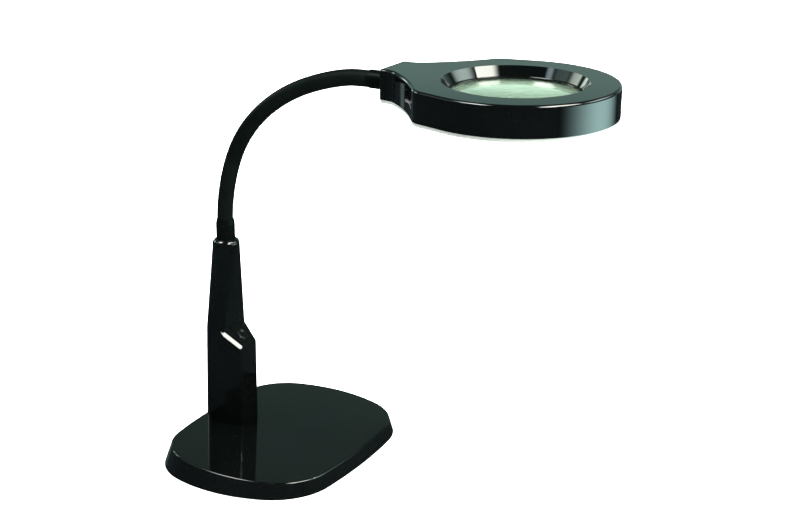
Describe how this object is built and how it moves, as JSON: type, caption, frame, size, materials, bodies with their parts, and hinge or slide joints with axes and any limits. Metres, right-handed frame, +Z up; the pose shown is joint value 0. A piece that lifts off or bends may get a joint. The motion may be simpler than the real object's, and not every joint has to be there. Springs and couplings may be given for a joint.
{
  "type": "magnifying lamp",
  "caption": "Desk magnifying lamp: weighted base, post with push switch, flexible gooseneck and a level ring head with a round lens and LEDs.",
  "frame": {"origin": "centre of the non-slip sheet under the base, on the table", "axes": "+Z up; +X from the post towards the head, in the lamp's middle plane; +Y across the base"},
  "size_m": [0.3952, 0.2204, 0.3646],
  "materials": {
    "gloss_black": "gloss black moulded plastic",
    "sleeve_black": "satin black flexible sleeve",
    "white_diffuser": "translucent white moulding",
    "lens_glass": "clear polished glass with a pale green tint",
    "black_metal": "satin black painted metal",
    "coil_steel": "spring steel",
    "plated_steel": "zinc-plated steel",
    "screw_black": "black oxide steel",
    "ballast_iron": "raw cast plate",
    "rubber_pad": "fine-textured non-slip sheet",
    "board_white": "white solder mask",
    "led_yellow": "phosphor-filled lens",
    "zinc_cast": "as-cast zinc",
    "inner_black": "moulded, unpolished"
  },
  "bodies": {
    "base": {"ballast_screws": "plated_steel", "base_ballast": "ballast_iron", "base_cover": "gloss_black", "base_floor": "plated_steel", "base_pad": "rubber_pad", "dc_jack": "inner_black", "floor_screws": "plated_steel", "foot_screws": "plated_steel", "gooseneck_coil_0": "coil_steel", "gooseneck_sleeve_0": "sleeve_black", "lower_ferrule": "black_metal", "neck_socket": "zinc_cast", "post_front_shell": "gloss_black", "post_rear_shell": "gloss_black", "post_screws": "screw_black", "post_spine": "plated_steel", "push_switch": "inner_black", "spine_screws": "plated_steel"},
    "neck_1": {"gooseneck_sleeve_1": "sleeve_black", "gooseneck_coil_1": "coil_steel"},
    "neck_2": {"gooseneck_sleeve_2": "sleeve_black", "gooseneck_coil_2": "coil_steel"},
    "neck_3": {"gooseneck_sleeve_3": "sleeve_black", "gooseneck_coil_3": "coil_steel"},
    "neck_4": {"gooseneck_sleeve_4": "sleeve_black", "gooseneck_coil_4": "coil_steel"},
    "neck_5": {"gooseneck_sleeve_5": "sleeve_black", "gooseneck_coil_5": "coil_steel"},
    "neck_6": {"gooseneck_sleeve_6": "sleeve_black", "gooseneck_coil_6": "coil_steel"},
    "neck_7": {"gooseneck_sleeve_7": "sleeve_black", "gooseneck_coil_7": "coil_steel"},
    "head": {"gooseneck_sleeve_8": "sleeve_black", "gooseneck_coil_8": "coil_steel", "upper_ferrule": "black_metal", "neck_anchor": "zinc_cast", "anchor_screws": "plated_steel", "head_housing": "gloss_black", "head_cover": "white_diffuser", "lens": "lens_glass", "lens_retainer": "inner_black", "retainer_screws": "plated_steel", "led_board": "board_white", "leds": "led_yellow", "board_screws": "plated_steel", "head_screws": "screw_black"},
    "button": {"switch_button": "gloss_black"}
  },
  "joints": [
    {"name": "neck_pitch_1", "type": "hinge", "parent": "base", "child": "neck_1", "pos_m": [-0.05428, 0, 0.22429], "axis": [0.0035, 1, 0], "range_deg": [-14, 14]},
    {"name": "neck_sway_1", "type": "hinge", "parent": "neck_1", "child": "neck_2", "pos_m": [-0.0487, 0, 0.25237], "axis": [0.9655, 0, -0.2603], "range_deg": [-14, 14]},
    {"name": "neck_pitch_2", "type": "hinge", "parent": "neck_2", "child": "neck_3", "pos_m": [-0.03837, 0, 0.27903], "axis": [0.0035, 1, 0], "range_deg": [-14, 14]},
    {"name": "neck_sway_2", "type": "hinge", "parent": "neck_3", "child": "neck_4", "pos_m": [-0.02193, 0, 0.30238], "axis": [0.7304, 0, -0.683], "range_deg": [-14, 14]},
    {"name": "neck_pitch_3", "type": "hinge", "parent": "neck_4", "child": "neck_5", "pos_m": [-0.00042, 0, 0.32124], "axis": [0.0035, 1, 0], "range_deg": [-14, 14]},
    {"name": "neck_sway_3", "type": "hinge", "parent": "neck_5", "child": "neck_6", "pos_m": [0.02443, 0, 0.33538], "axis": [0.4015, 0, -0.9159], "range_deg": [-14, 14]},
    {"name": "neck_pitch_4", "type": "hinge", "parent": "neck_6", "child": "neck_7", "pos_m": [0.05141, 0, 0.34496], "axis": [0.0035, 1, 0], "range_deg": [-14, 14]},
    {"name": "neck_sway_4", "type": "hinge", "parent": "neck_7", "child": "head", "pos_m": [0.07955, 0, 0.35017], "axis": [0.0964, 0, -0.9953], "range_deg": [-14, 14]},
    {"name": "button_press", "type": "slide", "parent": "base", "child": "button", "axis": [-0.6466, 0, -0.7628], "range_m": [0, 0.0015], "stiffness_N_per_m": 400}
  ]
}
